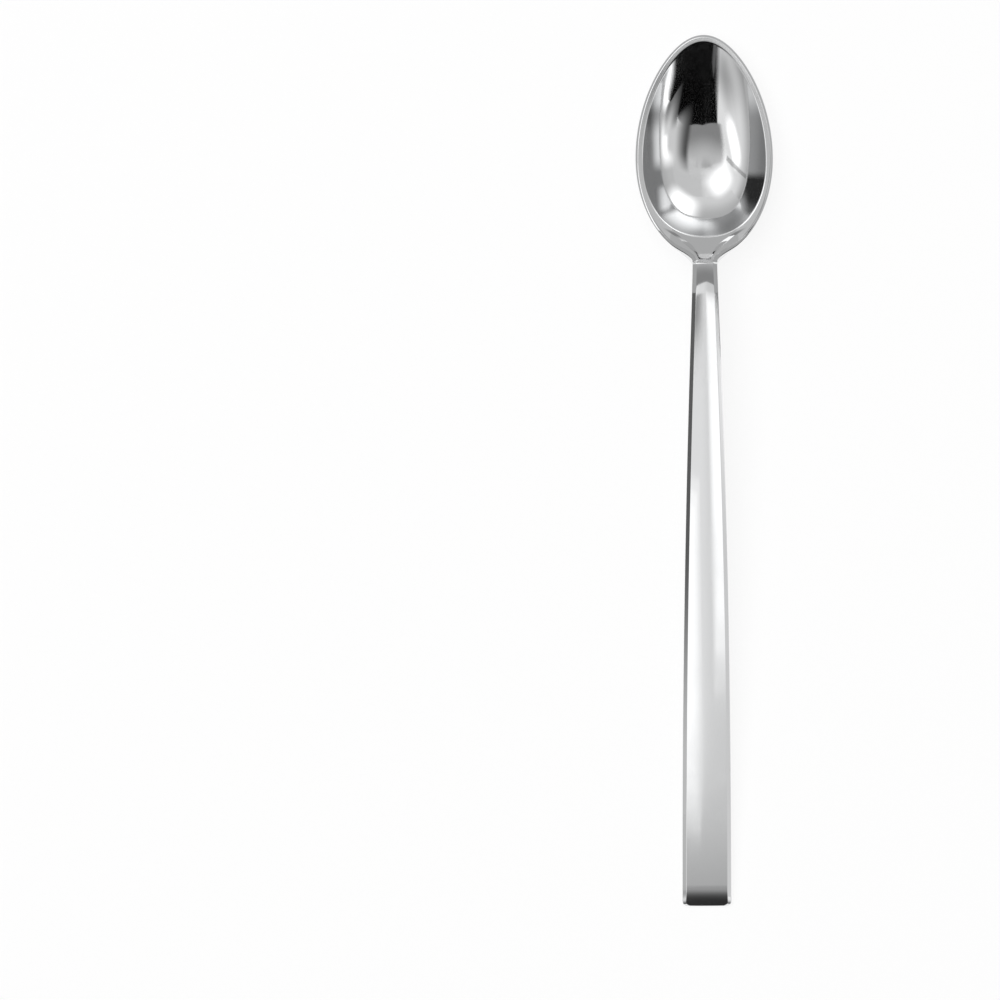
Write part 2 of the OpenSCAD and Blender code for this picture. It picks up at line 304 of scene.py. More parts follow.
def tongue_way(turn):
    """Below 0 before the tongue starts, 1 at the end of its side."""
    return (rear_share(turn) - TONGUE_START_SHARE) / (CORNER_SHARE - TONGUE_START_SHARE)


def tongue_edge(turn):
    """The side of the tongue, a curve from the lip into the neck."""
    q = tongue_way(turn)
    start = rim_lip(90 + 90 * TONGUE_START_SHARE)
    bend = Vector((TONGUE_BEND_W / 2, BOWL_LEN - TONGUE_BEND_AT))
    end = Vector((TONGUE_W / 2, BOWL_LEN - TONGUE_GAP - TONGUE_END_ROUND))
    return start * (1 - q) ** 2 + bend * 2 * q * (1 - q) + end * q * q


def lip_place(turn, step):
    """The lip, then the side of the tongue and its round end."""
    if step >= 0:
        side = 1 - step / NECK_STEPS
        end = TONGUE_END_ROUND * (1 - math.sqrt(1 - side * side))
        return Vector((TONGUE_W / 2 * side, BOWL_LEN - TONGUE_GAP - end))
    return tongue_edge(turn) if tongue_way(turn) > 0 else rim_lip(turn)


def crease_place(turn, step):
    """The crease, and on the joint its meeting with the round end."""
    if step < 0:
        return rim_crease(turn)
    corner = Vector(((NECK_W / 2 - BEVEL_W) * step_share(step, NECK_STEPS), BOWL_LEN))
    return lip_place(turn, step).lerp(corner, END_CREASE_SHARE)


def lip_point(turn, step):
    """The lip at its height, raised where it is the tongue."""
    place = lip_place(turn, step)
    return on_spoon(place, rim_rise(place[1]) + TONGUE_RISE * eased(tongue_way(turn)))


def groove_point(turn, step):
    """The bottom of the groove beside the lip."""
    place = lip_place(turn, step).lerp(crease_place(turn, step), GROOVE_SHARE)
    depth = GROOVE_DEPTH * mix(1, END_GROOVE_SHARE, max(0, step) / NECK_STEPS)
    return on_spoon(place, rim_rise(place[1]) - depth * eased(tongue_way(turn)))


def crease_point(turn, step):
    """The crease, sunk by the crown of the neck."""
    place = crease_place(turn, step)
    share = place[0] / (NECK_W / 2 - BEVEL_W)
    sink = CROWN * min(1, share * share) * root_share(turn)
    return on_spoon(place, rim_rise(place[1]) - sink)


def upper_edge_point(turn, step):
    """The outer edge under the bevel."""
    if step >= 0:
        return joint_point(upper_place(step, NECK_STEPS, NECK_W, NECK_T))
    outer = outer_place(turn)
    return on_spoon(outer, rim_rise(outer[1]) - mix(RIM_BEVEL_H, BEVEL_H, root_share(turn)))


def lower_edge_point(turn, step):
    """The outer edge at the underside of the rim and of the neck."""
    if step >= 0:
        return joint_point(lower_place(step, NECK_STEPS, NECK_W, NECK_T))
    outer, root = outer_place(turn), root_share(turn)
    depth = mix(RIM_T, NECK_T - UNDER_EDGE, root)
    return leaned(on_spoon(outer, rim_rise(outer[1])), -depth, NECK_ANGLE * root)


BELLY_LOW = rim_rise(BOWL_DEEPEST) - BOWL_DEPTH - BOWL_WALL


def belly_point(turn, step, share):
    """The underside, from its lowest point to the edge: the wall, blended into the heel."""
    edge = lower_edge_point(turn, step)
    if share == 1:
        return edge
    inner = hollow_place(turn)
    low_y = TIP_Y - BOWL_DEEPEST
    y = mix(low_y, edge.y, share)
    root = 1.0 if step >= 0 else root_share(turn)
    wall_reach = math.hypot(inner[0], inner[1] - BOWL_DEEPEST) + RIM_W
    reach = max(1.0, math.hypot(edge.x, edge.y - low_y) / wall_reach)
    wall_end = TIP_Y - mix(low_y, edge.y, 1 / reach)
    wall = mix(BELLY_LOW, rim_rise(wall_end) - RIM_T, (share * reach) ** WALL_POWER)
    heel = edge.z + tangent(NECK_ANGLE * root) * (edge.y - y)
    radius = HEEL_ROUND * (1 - share * share)
    blend = clamped(0.5 + 0.5 * (heel - wall) / radius)
    return Vector((edge.x * share, y, mix(heel, wall, blend) - radius * blend * (1 - blend)))


def rounded(chain, corners):
    """The chain of points with a small arc, and a point on either side, at each corner."""
    made = []
    for i, point in enumerate(chain):
        if i not in corners:
            made.append(point)
            continue
        before = chain[i - 1] - point
        after = chain[(i + 1) % len(chain)] - point
        start = before.normalized() * min(corners[i], ROUND_REACH_SHARE * before.length)
        end = after.normalized() * min(corners[i], ROUND_REACH_SHARE * after.length)
        made.append(point + start * BESIDE_ROUND_SHARE)
        for k in range(CORNER_STEPS + 1):
            q = k / CORNER_STEPS
            made.append(point + start * (1 - q) ** 2 + end * q * q)
        made.append(point + end * BESIDE_ROUND_SHARE)
    return made


def bowl_chain(turn, step):
    """Points from the middle of the hollow over the rim to the lowest point of the belly."""
    hollow = [hollow_point(turn, k / HOLLOW_STEPS) for k in range(1, HOLLOW_STEPS + 1)]
    belly = [belly_point(turn, step, k / BELLY_STEPS) for k in range(BELLY_STEPS - 1, 0, -1)]
    rim = [
        lip_point(turn, step),
        groove_point(turn, step),
        crease_point(turn, step),
        upper_edge_point(turn, step),
        lower_edge_point(turn, step),
    ]
    neck = root_share(turn) if step < 0 else 1.0
    edge = len(hollow) - 1
    corners = {
        edge: HOLLOW_EDGE_ROUND,
        edge + 1: LIP_ROUND,
        edge + 2: GROOVE_ROUND,
        edge + 3: mix(CREASE_ROUND, NECK_CREASE_ROUND, neck),
        edge + 4: mix(UPPER_EDGE_ROUND, NECK_UPPER_EDGE_ROUND, neck),
        edge + 5: mix(LOWER_EDGE_ROUND, NECK_LOWER_EDGE_ROUND, neck),
    }
    return rounded(hollow + rim + belly, corners)


def bowl_stops():
    """Each stop is (side, turn, step), up the +X side from the tip and back."""
    right = []
    for i in range(SIDE_STEPS):
        way = i / SIDE_STEPS
        right.append((NECK_TURN * mix(way, eased(way), DRAWN_SHARE), -1))
    for j in range(NECK_STEPS + 1):
        right.append((mix(NECK_TURN, 180, j / NECK_STEPS), j))
    return [(1, *stop) for stop in right] + [(-1, *stop) for stop in right[-2:0:-1]]


def plain_object(name, points, faces):
    """An object with a mesh of these points in metres, put in the scene."""
    mesh = bpy.data.meshes.new(name)
    mesh.from_pydata(points, [], faces)
    made = bpy.data.objects.new(name, mesh)
    bpy.context.scene.collection.objects.link(made)
    return made


def skin(name, rings, caps):
    """A closed mesh over rings of equal count. A cap is a point, or None for a flat end."""
    count = len(rings[0])
    points = [point for ring in rings for point in ring]
    faces = []
    for k in range(len(rings) - 1):
        for i in range(count):
            a, b = k * count + i, k * count + (i + 1) % count
            faces.append((a, b, b + count, a + count))
    for first, cap, inward in ((0, caps[0], True), (len(points) - count, caps[1], False)):
        ring = [first + i for i in range(count)]
        if cap is None:
            faces.append(tuple(reversed(ring)) if inward else tuple(ring))
            continue
        top = len(points)
        points.append(cap)
        for i in range(count):
            a, b = ring[i], ring[(i + 1) % count]
            faces.append((top, b, a) if inward else (top, a, b))
    piece = plain_object(name, [tuple(point * MM) for point in points], faces)
    piece.data.validate()
    piece.data.update()
    piece.data.shade_smooth()
    return piece


def block(name, low, high, lean, middle):
    """A plain block in the joint's leaning frame, used only to cut and to join."""
    corners = []
    for z in (low[2], high[2]):
        for x, y in ((low[0], low[1]), (high[0], low[1]), (high[0], high[1]), (low[0], high[1])):
            level = Vector((x, y * cosine(lean), -y * sine(lean)))
            corners.append(middle + leaned(level, z, lean))
    faces = [
        (3, 2, 1, 0),
        (4, 5, 6, 7),
        (0, 1, 5, 4),
        (1, 2, 6, 5),
        (2, 3, 7, 6),
        (3, 0, 4, 7),
    ]
    return plain_object(name, [tuple(corner * MM) for corner in corners], faces)


def combine(piece, other, operation):
    """Joins or cuts the piece with the other one, which is then gone."""
    step = piece.modifiers.new("combine", "BOOLEAN")
    step.operation = operation
    step.solver = "EXACT"
    step.object = other
    bpy.context.view_layer.objects.active = piece
    bpy.ops.object.modifier_apply(modifier=step.name)
    bpy.data.objects.remove(other, do_unlink=True)


# The bowl stands on its lowest point
stops = bowl_stops()
right_belly = [
    belly_point(turn, step, k / BELLY_STEPS)
    for side, turn, step in stops
    if side == 1
    for k in range(1, BELLY_STEPS + 1)
]
RIM_TIP_Z = -min([BELLY_LOW] + [point.z for point in right_belly])
LIFT = Vector((0, 0, RIM_TIP_Z))
JOINT_PLACE = joint_point((0, 0)) + LIFT


def make_bowl():
    """The bowl's closed skin, with the tang joined to it."""
    chains = []
    for side, turn, step in stops:
        chain = bowl_chain(turn, step)
        chains.append([Vector((side * p.x, p.y, p.z)) + LIFT for p in chain])
    rings = [[chain[k] for chain in chains] for k in range(len(chains[0]))]
    floor = on_spoon((0, BOWL_DEEPEST), rim_rise(BOWL_DEEPEST) - BOWL_DEPTH) + LIFT
    low = on_spoon((0, BOWL_DEEPEST), BELLY_LOW) + LIFT
    bowl = skin("spoon_bowl", rings, (floor, low))
    tang = block(
        "tang",
        (-TANG_W / 2, -TANG_LEN, -TANG_H / 2),
        (TANG_W / 2, TANG_ROOT, TANG_H / 2),
        NECK_ANGLE,
        JOINT_PLACE,
    )
    combine(bowl, tang, "UNION")
    return bowl


# Handle: sections along a curve in side view
HANDLE_START = Vector(
    (JOINT_PLACE.y - BRAZE_GAP * cosine(NECK_ANGLE), JOINT_PLACE.z + BRAZE_GAP * sine(NECK_ANGLE))
)
NECK_WAY = Vector((-cosine(NECK_ANGLE), sine(NECK_ANGLE)))
TAIL = Vector((cosine(TAIL_ANGLE), sine(TAIL_ANGLE)))
END_PLACE = Vector((END_Y, END_T / 2 - LAND_LEN * tangent(TAIL_ANGLE)))
ROLL_START = END_PLACE + TAIL * END_ROLL
NECK_PULL = HANDLE_START + NECK_WAY * NECK_REACH
TAIL_PULL = ROLL_START + TAIL * TAIL_REACH


def curve_place(q):
    """The middle of the handle in side view, as (y, z), from neck to roll."""
    return (
        HANDLE_START * (1 - q) ** 3
        + NECK_PULL * 3 * (1 - q) ** 2 * q
        + TAIL_PULL * 3 * (1 - q) * q * q
        + ROLL_START * q**3
    )


def eased_way(way):
    """The way along the handle, which counts slowly near the neck."""
    return math.sqrt(way * way + NECK_EASE * NECK_EASE) - NECK_EASE


def handle_w(way):
    left = 1 - clamped(eased_way(max(0.0, way)) / eased_way(HANDLE_LEN))
    return mix(NECK_W, END_W, 1 - left**TAPER_POWER)


def handle_t(way):
    return mix(NECK_T, END_T, clamped(way / HANDLE_LEN))


def handle_section(w, t):
    """The closed section as (x, height), with its edges rounded."""
    half = [
        (w / 2 - UNDER_EDGE, -t / 2),
        (w / 2, UNDER_EDGE - t / 2),
        (w / 2, t / 2 - BEVEL_H),
    ]
    steps = CROWN_STEPS // 2 + 1
    half += [upper_place(j, steps, w, t) for j in range(1, steps + 1)]
    under = [((w / 2 - UNDER_EDGE) * share, -t / 2) for share in UNDER_PLACES]
    left = [(-x, z) for x, z in reversed(half[:-1])]
    chain = [Vector((x, 0, z)) for x, z in half + left + under]
    last = len(half + left) - 1
    radii = (HANDLE_UNDER_ROUND, HANDLE_UNDER_ROUND, HANDLE_SIDE_ROUND, HANDLE_BEVEL_ROUND)
    corners = dict(enumerate(radii))
    corners.update({last - i: radius for i, radius in list(corners.items())})
    return [(p.x, p.z) for p in rounded(chain, corners)]


def handle_ring(place, lean, squash, narrowing, shrink=1.0):
    """A section set at a place, pressed from above, narrowed and shrunk, kept over the floor."""
    way = JOINT_Y - place.x
    w, t = handle_w(way) - 2 * narrowing, handle_t(way)
    ring = []
    for x, z in handle_section(w, t):
        h = ((z + t / 2) * squash - t / 2) * shrink
        point = leaned(Vector((x * shrink, place.x, place.y)), h, lean)
        ring.append(Vector((point.x, point.y, max(0.0, point.z))))
    return ring


def make_handle():
    """The handle's closed skin, with the socket cut into it."""
    rings = []
    for setback, shrink in START_RINGS:
        rings.append(handle_ring(HANDLE_START + NECK_WAY * setback, NECK_ANGLE, 1, 0, shrink))
    for i in range(1, SPINE_STEPS):
        q = i / SPINE_STEPS
        rings.append(handle_ring(curve_place(q), NECK_ANGLE * (1 - eased(q / LEAN_SHARE)), 1, 0))
    for k in range(ROLL_STEPS + 1):
        angle = 90 * k / ROLL_STEPS
        setback = END_ROLL * (1 - sine(angle))
        over = max(0.0, END_CORNER - setback)
        squash = mix(1, END_FACE_T / END_T, sine(angle) ** 2)
        narrowing = END_CORNER - math.sqrt(END_CORNER**2 - over**2)
        rings.append(handle_ring(END_PLACE + TAIL * setback, 0, squash, narrowing))
    handle = skin("spoon_handle", rings, (None, None))
    socket = block(
        "socket",
        (-TANG_W / 2 - BRAZE_GAP, -TANG_LEN - BRAZE_GAP, -TANG_H / 2 - BRAZE_GAP),
        (TANG_W / 2 + BRAZE_GAP, SOCKET_MOUTH, TANG_H / 2 + BRAZE_GAP),
        NECK_ANGLE,
        JOINT_PLACE,
    )
    combine(handle, socket, "DIFFERENCE")
    return handle


# Node helpers
def group(name, inputs, outputs):
    """A shader node group with named number inputs and typed outputs."""
    made = bpy.data.node_groups.new(name, "ShaderNodeTree")
    for label, value in inputs:
        socket = made.interface.new_socket(label, in_out="INPUT", socket_type="NodeSocketFloat")
        socket.default_value = value
    for label, kind in outputs:
        made.interface.new_socket(label, in_out="OUTPUT", socket_type="NodeSocket" + kind)
    return made


def add(tree, kind, x, y, **values):
    """A node at a place of the tree, with its properties and its inputs' values."""
    made = tree.nodes.new(kind)
    made.location = (x, y)
    for key, value in values.items():
        if hasattr(made, key):
            setattr(made, key, value)
        else:
            made.inputs[key.replace("_", " ")].default_value = value
    return made


def ramp(tree, source, x, y, start, end, low=0.0, high=1.0, kind="SMOOTHSTEP"):
    """A change from low to high as the source goes from start to end."""
    made = add(tree, "ShaderNodeMapRange", x, y, interpolation_type=kind)
    made.inputs["From Min"].default_value = start
    made.inputs["From Max"].default_value = end
    made.inputs["To Min"].default_value = low
    made.inputs["To Max"].default_value = high
    tree.links.new(source, made.inputs["Value"])
    return made.outputs[0]


def math_node(tree, operation, x, y, first, second=None, third=None, clamp=False):
    """The result of a sum. Each source is a number or another node's output."""
    made = add(tree, "ShaderNodeMath", x, y, operation=operation, use_clamp=clamp)
    for i, source in enumerate((first, second, third)):
        if source is None:
            continue
        if isinstance(source, (int, float)):
            made.inputs[i].default_value = source
        else:
            tree.links.new(source, made.inputs[i])
    return made.outputs[0]


def polishing_grain():
    """Fine lines that the polishing wheel leaves along the spoon."""
    tree = group(
        "polishing_grain",
        (("Lines per metre", 9000.0), ("Stretch", 0.04), ("Depth", 1.0)),
        (("Height", "Float"), ("Mask", "Float")),
    )
    inp = add(tree, "NodeGroupInput", -900, 0)
    out = add(tree, "NodeGroupOutput", 700, 0)
    place = add(tree, "ShaderNodeTexCoord", -900, 300)
    lengthways = math_node(
        tree, "MULTIPLY", -700, -100, inp.outputs["Lines per metre"], inp.outputs["Stretch"]
    )
    scale = add(tree, "ShaderNodeCombineXYZ", -500, 0)
    tree.links.new(inp.outputs["Lines per metre"], scale.inputs["X"])
    tree.links.new(lengthways, scale.inputs["Y"])
    tree.links.new(inp.outputs["Lines per metre"], scale.inputs["Z"])
    laid = add(tree, "ShaderNodeMapping", -300, 200)
    tree.links.new(place.outputs["Object"], laid.inputs["Vector"])
    tree.links.new(scale.outputs[0], laid.inputs["Scale"])
    noise = add(tree, "ShaderNodeTexNoise", -100, 200, Scale=1.0, Detail=3.0, Roughness=0.6)
    tree.links.new(laid.outputs[0], noise.inputs["Vector"])
    height = math_node(tree, "MULTIPLY", 150, 100, noise.outputs["Fac"], inp.outputs["Depth"])
    mask = ramp(tree, noise.outputs["Fac"], 150, -100, 0.35, 0.7, kind="LINEAR")
    tree.links.new(height, out.inputs["Height"])
    tree.links.new(mask, out.inputs["Mask"])
    return tree


def hairline_scratches():
    """Sparse thin scratches from use, in two slanting directions."""
    tree = group(
        "hairline_scratches",
        (("Spacing", 900.0), ("Turn", 0.5), ("Amount", 1.0)),
        (("Height", "Float"), ("Mask", "Float")),
    )
    inp = add(tree, "NodeGroupInput", -1100, 0)
    out = add(tree, "NodeGroupOutput", 900, 0)
    place = add(tree, "ShaderNodeTexCoord", -1100, 300)
    masks = []
    for row, sign in ((200, 1.0), (-200, -1.6)):
        turn = math_node(tree, "MULTIPLY", -900, row, inp.outputs["Turn"], sign)
        angle = add(tree, "ShaderNodeCombineXYZ", -700, row)
        tree.links.new(turn, angle.inputs["Z"])
        laid = add(tree, "ShaderNodeMapping", -500, row)
        laid.inputs["Scale"].default_value = (1.0, 0.05, 1.0)
        tree.links.new(place.outputs["Object"], laid.inputs["Vector"])
        tree.links.new(angle.outputs[0], laid.inputs["Rotation"])
        noise = add(tree, "ShaderNodeTexNoise", -300, row, Detail=1.0, Roughness=0.4)
        tree.links.new(laid.outputs[0], noise.inputs["Vector"])
        tree.links.new(inp.outputs["Spacing"], noise.inputs["Scale"])
        masks.append(ramp(tree, noise.outputs["Fac"], -100, row, 0.72, 0.8, kind="LINEAR"))
    both = math_node(tree, "MAXIMUM", 150, 0, masks[0], masks[1])
    mask = math_node(tree, "MULTIPLY", 350, 0, both, inp.outputs["Amount"], clamp=True)
    height = math_node(tree, "SUBTRACT", 550, 100, 1.0, mask)
    tree.links.new(height, out.inputs["Height"])
    tree.links.new(mask, out.inputs["Mask"])
    return tree


def handling_film():
    """Broad cloudy patches left by fingers and wiping, and their slight change of tone."""
    tree = group(
        "handling_film",
        (("Patch scale", 60.0), ("Amount", 1.0)),
        (("Mask", "Float"), ("Tone", "Color")),
    )
    inp = add(tree, "NodeGroupInput", -900, 0)
    out = add(tree, "NodeGroupOutput", 700, 0)
    place = add(tree, "ShaderNodeTexCoord", -900, 300)
    noise = add(tree, "ShaderNodeTexNoise", -500, 100, Detail=4.0, Roughness=0.55)
    tree.links.new(place.outputs["Object"], noise.inputs["Vector"])
    tree.links.new(inp.outputs["Patch scale"], noise.inputs["Scale"])
    spread = ramp(tree, noise.outputs["Fac"], -250, 100, 0.4, 0.68)
    mask = math_node(tree, "MULTIPLY", 0, 100, spread, inp.outputs["Amount"], clamp=True)
    # The places of the colour sockets A, B and Result in a Mix node
    clean, filmed, result = 6, 7, 2
    tone = add(tree, "ShaderNodeMix", 300, -100, data_type="RGBA")
    tone.inputs[clean].default_value = (0.80, 0.805, 0.81, 1)
    tone.inputs[filmed].default_value = (0.745, 0.75, 0.755, 1)
    tree.links.new(mask, tone.inputs[0])
    tree.links.new(mask, out.inputs["Mask"])
    tree.links.new(tone.outputs[result], out.inputs["Tone"])
    return tree


RELIEF_HEIGHT = 0.02 * MM
GRAIN = polishing_grain()
SCRATCHES = hairline_scratches()
FILM = handling_film()


def placed(tree, effect, x, y, **values):
    """An effect's node group placed in a material with its own values."""
    use = tree.nodes.new("ShaderNodeGroup")
    use.node_tree = effect
    use.location = (x, y)
    for key, value in values.items():
        use.inputs[key.replace("_", " ")].default_value = value
    return use


def metal(name, smooth, rough, grain, scratches, film, bump):
    """A worn metal: the film gives its tone, the grain and scratches give its relief, and
    all three roughen it, from smooth to rough."""
    made = bpy.data.materials.new(name)
    made.use_nodes = True
    tree = made.node_tree
    shader = tree.nodes["Principled BSDF"]
    shader.inputs["Metallic"].default_value = 1.0
    grain_use = placed(tree, GRAIN, -900, 200, **grain)
    scratch_use = placed(tree, SCRATCHES, -900, -50, **scratches)
    film_use = placed(tree, FILM, -900, -300, **film)
    worn = film_use.outputs["Mask"]
    for x, use, weight in ((-600, scratch_use, 0.5), (-450, grain_use, 0.3)):
        worn = math_node(tree, "MULTIPLY_ADD", x, 0, use.outputs["Mask"], weight, worn)
    gloss = ramp(tree, worn, -250, 0, 0.0, 1.0, smooth, rough, kind="LINEAR")
    heights = (grain_use.outputs["Height"], scratch_use.outputs["Height"])
    height = math_node(tree, "ADD", -600, 250, *heights)
    relief = add(tree, "ShaderNodeBump", -250, 250, Strength=bump, Distance=RELIEF_HEIGHT)
    tree.links.new(height, relief.inputs["Height"])
    tree.links.new(film_use.outputs["Tone"], shader.inputs["Base Color"])
    tree.links.new(gloss, shader.inputs["Roughness"])
    tree.links.new(relief.outputs[0], shader.inputs["Normal"])
    return made


POLISHED_STEEL = metal(
    "polished_steel",
    smooth=0.03,
    rough=0.13,
    grain={"Lines_per_metre": 9000.0, "Stretch": 0.03, "Depth": 0.5},
    scratches={"Spacing": 700.0, "Turn": 0.45, "Amount": 0.6},
    film={"Patch_scale": 55.0, "Amount": 0.5},
    bump=0.05,
)
BRAZE_FILLER = metal(
    "braze_filler",
    smooth=0.3,
    rough=0.5,
    grain={"Lines_per_metre": 4000.0, "Stretch": 0.6, "Depth": 1.0},
    scratches={"Spacing": 1500.0, "Turn": 0.9, "Amount": 0.3},
    film={"Patch_scale": 300.0, "Amount": 1.0},
    bump=0.3,
)

bowl = make_bowl()
bowl.data.materials.append(POLISHED_STEEL)
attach(bowl, "root")
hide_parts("bowl")

handle = make_handle()
handle.data.materials.append(POLISHED_STEEL)
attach(handle, "root")
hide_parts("handle")

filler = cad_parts["braze_joint"]
for slot in filler.material_slots:
    slot.material = BRAZE_FILLER


# The stage: a white floor and background, grey and black cards that only reflections see,
# and one broad soft lamp
def seen_plainly(tree, x, y):
    """1 for the rays that show the background: the camera's, and those off gloss and glass."""
    path = add(tree, "ShaderNodeLightPath", x, y)
    some = math_node(
        tree, "MAXIMUM", x + 200, y, path.outputs["Is Camera Ray"], path.outputs["Is Glossy Ray"]
    )
    return math_node(tree, "MAXIMUM", x + 400, y, some, path.outputs["Is Transmission Ray"])


def level_corners(x, y, z):
    """Corners of a level rectangle between two X and two Y values."""
    return ((x[0], y[0], z), (x[1], y[0], z), (x[1], y[1], z), (x[0], y[1], z))


def make_floor():
    """A white floor, which mixes paper with an even glow for the rays that show it."""
    size, drop, plain_share = 12.0, 0.00005, 0.85
    floor = plain_object("floor", level_corners((-size, size), (-size, size), 0), [(0, 1, 2, 3)])
    floor.location.z = -drop
    made = bpy.data.materials.new("white_floor")
    made.use_nodes = True
    tree = made.node_tree
    tree.nodes.clear()
    out = add(tree, "ShaderNodeOutputMaterial", 600, 0)
    paper = add(tree, "ShaderNodeBsdfDiffuse", 0, 100, Color=(0.98, 0.98, 0.98, 1))
    white = add(tree, "ShaderNodeEmission", 0, -100, Strength=1.0)
    share = math_node(tree, "MULTIPLY", 200, 300, seen_plainly(tree, -600, 300), plain_share)
    blend = add(tree, "ShaderNodeMixShader", 400, 0)
    tree.links.new(share, blend.inputs[0])
    tree.links.new(paper.outputs[0], blend.inputs[1])
    tree.links.new(white.outputs[0], blend.inputs[2])
    tree.links.new(blend.outputs[0], out.inputs["Surface"])
    floor.data.materials.append(made)


def make_world():
    """A white background, dimmer as a light than to the rays that show it."""
    world = bpy.data.worlds.new("white_studio")
    bpy.context.scene.world = world
    world.use_nodes = True
    tree = world.node_tree
    back = tree.nodes["Background"]
    back.inputs["Color"].default_value = (1, 1, 1, 1)
    seen = seen_plainly(tree, -900, 200)
    strength = ramp(tree, seen, -200, 200, 0.0, 1.0, 0.45, 1.0, kind="LINEAR")
    tree.links.new(strength, back.inputs["Strength"])


def card_object(name, points, faces):
    """A piece of the stage that only reflections see."""
    made = plain_object(name, points, faces)
    made.visible_camera = False
    made.visible_diffuse = False
    made.visible_shadow = False
    made.visible_transmission = False
    return made


def card_look(name):
    """A clear and a glowing shader mixed by a mask, and the tree to add the mask to."""
    look = bpy.data.materials.new(name)
    look.use_nodes = True
    tree = look.node_tree
    tree.nodes.clear()
    out = add(tree, "ShaderNodeOutputMaterial", 900, 0)
    glow = add(tree, "ShaderNodeEmission", 300, -100, Strength=1.0)
    clear = add(tree, "ShaderNodeBsdfTransparent", 300, 100)
    blend = add(tree, "ShaderNodeMixShader", 650, 0)
    tree.links.new(clear.outputs[0], blend.inputs[1])
    tree.links.new(glow.outputs[0], blend.inputs[2])
    tree.links.new(blend.outputs[0], out.inputs["Surface"])
    return look, tree, glow, blend


# Glossy Depth is 1 on the first reflection and 2 on the second
BETWEEN_REFLECTIONS = 1.5


def card(name, corners, tones, fades=(), faces=None, one_sided=False, bounce=0, cover=1.0):
    """A card between corners in metres. Its tones, and the fades that clear it, are soft
    changes made by across, along or upward, multiplied. It may be seen from its front only,
    and with bounce 1 or 2 by the first or the second reflections only."""
    made = card_object(name, corners, faces or [tuple(range(len(corners)))])
    look, tree, glow, blend = card_look(name)
    place = add(tree, "ShaderNodeTexCoord", -900, 0)
    parts = add(tree, "ShaderNodeSeparateXYZ", -700, 0)
    tree.links.new(place.outputs["Object"], parts.inputs[0])
    totals = []
    for row, changes in enumerate((tones, fades)):
        total = 1.0 if row == 0 else cover
        for i, (axis, start, end, first, last) in enumerate(changes):
            x, y = -500 + 150 * i, -300 * row
            step = ramp(tree, parts.outputs[axis], x, y, start, end, first, last)
            total = math_node(tree, "MULTIPLY", x + 100, y - 100, step, total)
        totals.append(total)
    tone, mask = totals
    tree.links.new(tone, glow.inputs["Color"])
    if one_sided:
        side = add(tree, "ShaderNodeNewGeometry", 0, 300)
        front = math_node(tree, "SUBTRACT", 150, 300, 1.0, side.outputs["Backfacing"])
        mask = math_node(tree, "MULTIPLY", 300, 300, front, mask)
    if bounce:
        path = add(tree, "ShaderNodeLightPath", 0, 600)
        compare = "LESS_THAN" if bounce == 1 else "GREATER_THAN"
        right_one = math_node(
            tree, compare, 150, 600, path.outputs["Glossy Depth"], BETWEEN_REFLECTIONS
        )
        mask = math_node(tree, "MULTIPLY", 300, 600, right_one, mask)
    if isinstance(mask, float):
        blend.inputs[0].default_value = mask
    else:
        tree.links.new(mask, blend.inputs[0])
    made.data.materials.append(look)


def across(start, end, low=0.0, high=1.0):
    """A soft change along X, from low at the start to high at the end."""
    return (0, start, end, low, high)


def along(start, end, low=0.0, high=1.0):
    """The same along Y, the length of the spoon."""
    return (1, start, end, low, high)


def upward(start, end, low=0.0, high=1.0):
    """The same along Z."""
    return (2, start, end, low, high)


def even(level):
    """The tones of a card that has the same level all over."""
    return (across(-1.0, 1.0, level, level),)


def soft_card(name, corners, level, spread, **rules):
    """A card whose edges are soft: layers, each a little larger, thinner and further behind
    than the one before."""
    layers, first_cover, cover_step, layer_gap = 4, 0.95, 0.2, 0.0004
    corners = [Vector(corner) for corner in corners]
    middle = sum(corners, Vector()) / len(corners)
    behind = -geometry.normal(corners) * layer_gap
    for k in range(layers):
        grown = []
        for corner in corners:
            out = (corner - middle).normalized() * spread * (k - (layers - 1) / 2) / 2
            grown.append(tuple(corner + out + behind * k))
        cover = first_cover - cover_step * k
        card(name + "_" + str(k), grown, even(level), cover=cover, **rules)


def softbox(name, middle, direction, distance, width, height, level, edge, roll):
    """A rounded panel with soft edges, facing the middle from a direction. The edge is the
    share of the panel over which it fades, and the roll is in degrees."""
    squareness = 3.0
    w, h = width / 2, height / 2
    made = card_object(name, level_corners((-w, w), (-h, h), 0), [(0, 1, 2, 3)])
    way = Vector(direction).normalized()
    made.location = Vector(middle) + way * distance
    turn = (-way).to_track_quat("Z", "Y").to_euler()
    turn.rotate_axis("Z", math.radians(roll))
    made.rotation_euler = turn
    look, tree, glow, blend = card_look(name)
    glow.inputs["Color"].default_value = (level, level, level, 1)
    place = add(tree, "ShaderNodeTexCoord", -900, 0)
    parts = add(tree, "ShaderNodeSeparateXYZ", -700, 0)
    tree.links.new(place.outputs["Object"], parts.inputs[0])
    powers = []
    for i, half in ((0, w), (1, h)):
        share = math_node(tree, "MULTIPLY", -500, -200 * i, parts.outputs[i], 1 / half)
        inward = math_node(tree, "ABSOLUTE", -400, -200 * i, share)
        powers.append(math_node(tree, "POWER", -300, -200 * i, inward, squareness))
    total = math_node(tree, "ADD", -200, 0, powers[0], powers[1])
    reach = math_node(tree, "POWER", -100, 0, total, 1 / squareness)
    tree.links.new(ramp(tree, reach, 100, 0, 1.0, 1.0 - edge), blend.inputs[0])
    made.data.materials.append(look)


